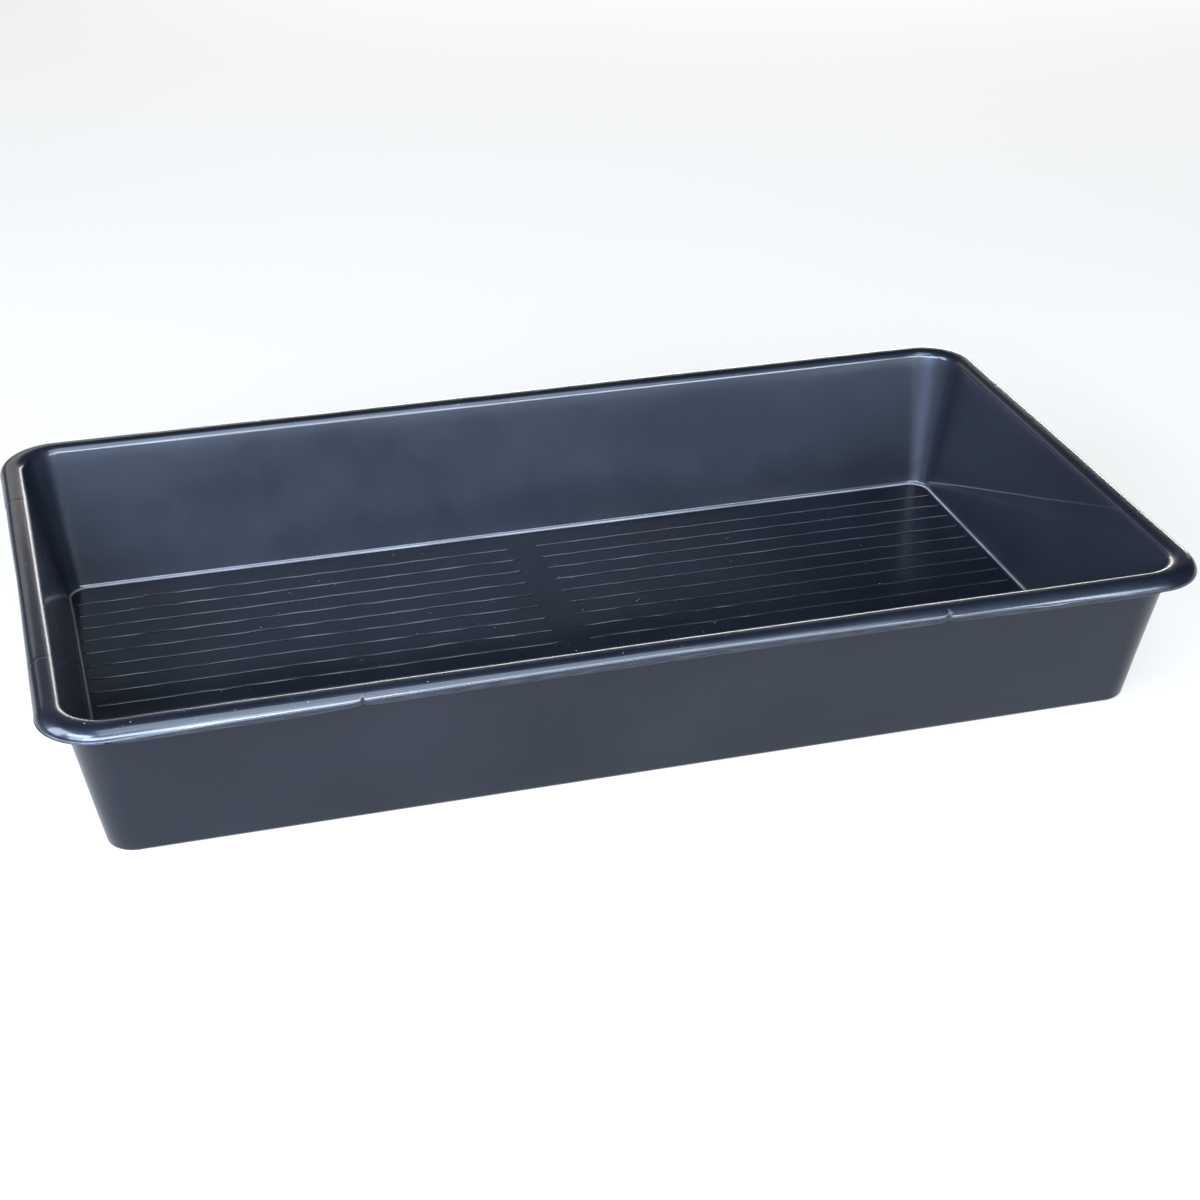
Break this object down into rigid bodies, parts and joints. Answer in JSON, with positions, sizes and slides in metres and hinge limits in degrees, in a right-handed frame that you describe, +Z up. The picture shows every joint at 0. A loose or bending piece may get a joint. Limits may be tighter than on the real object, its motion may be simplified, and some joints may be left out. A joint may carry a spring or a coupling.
{
  "type": "flat-bottomed paint tray",
  "caption": "Large flat-bottomed rectangular plastic tray with sloping walls, a down-turned rim and low floor ribs, for paint rollers, mixing or catching drips.",
  "frame": {"origin": "middle of the flat underside, on the surface the tray stands on", "axes": "+X along the tray's length, +Y across its width, +Z up out of the tray's mouth"},
  "size_m": [1, 0.564, 0.144],
  "materials": {
    "tray_plastic": "satin, blue-black polyethylene with a fine moulded grain"
  },
  "bodies": {
    "root": {"tray": "tray_plastic"}
  },
  "joints": []
}
